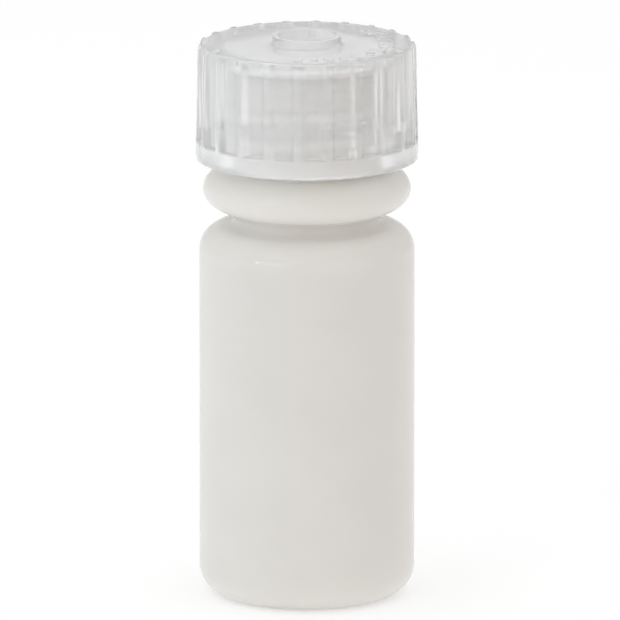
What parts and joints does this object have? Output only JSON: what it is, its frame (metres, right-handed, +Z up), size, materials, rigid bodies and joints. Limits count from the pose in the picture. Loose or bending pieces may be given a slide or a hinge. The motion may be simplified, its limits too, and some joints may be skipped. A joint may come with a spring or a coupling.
{
  "type": "reagent bottle",
  "caption": "Small narrow-mouth plastic reagent bottle: cylinder body, collar bead under the neck, and a ribbed screw cap with a seal liner that turns and lifts off.",
  "frame": {"origin": "centre of the standing ring under the base, on the bottle's axis", "axes": "+Z up along the bottle's axis towards the cap; -Y is the front that faces the viewer; +X to the viewer's right"},
  "size_m": [0.0258, 0.0258, 0.0662],
  "materials": {
    "bottle_plastic": "natural high-density polyethylene, milky and translucent, satin blow-moulded skin",
    "liner_foam": "white closed-cell polyethylene foam disc, matt",
    "cap_plastic": "natural polypropylene, nearly clear, injection moulded with a smooth gloss"
  },
  "bodies": {
    "bottle": {"bottle": "bottle_plastic"},
    "liner": {"seal_liner": "liner_foam"},
    "cap": {"screw_cap": "cap_plastic"}
  },
  "joints": [
    {"name": "cap_lift", "type": "slide", "parent": "bottle", "child": "liner", "axis": [0, 0, 1], "range_m": [0, 0.0159]},
    {"name": "cap_turn", "type": "hinge", "parent": "liner", "child": "cap", "pos_m": [0, 0, 0.0575], "axis": [0, 0, 1], "range_deg": [0, 1800]}
  ],
  "couplings": [
    {"joint": "cap_lift", "follows": "cap_turn", "m_per_rad": 0.00050532}
  ]
}
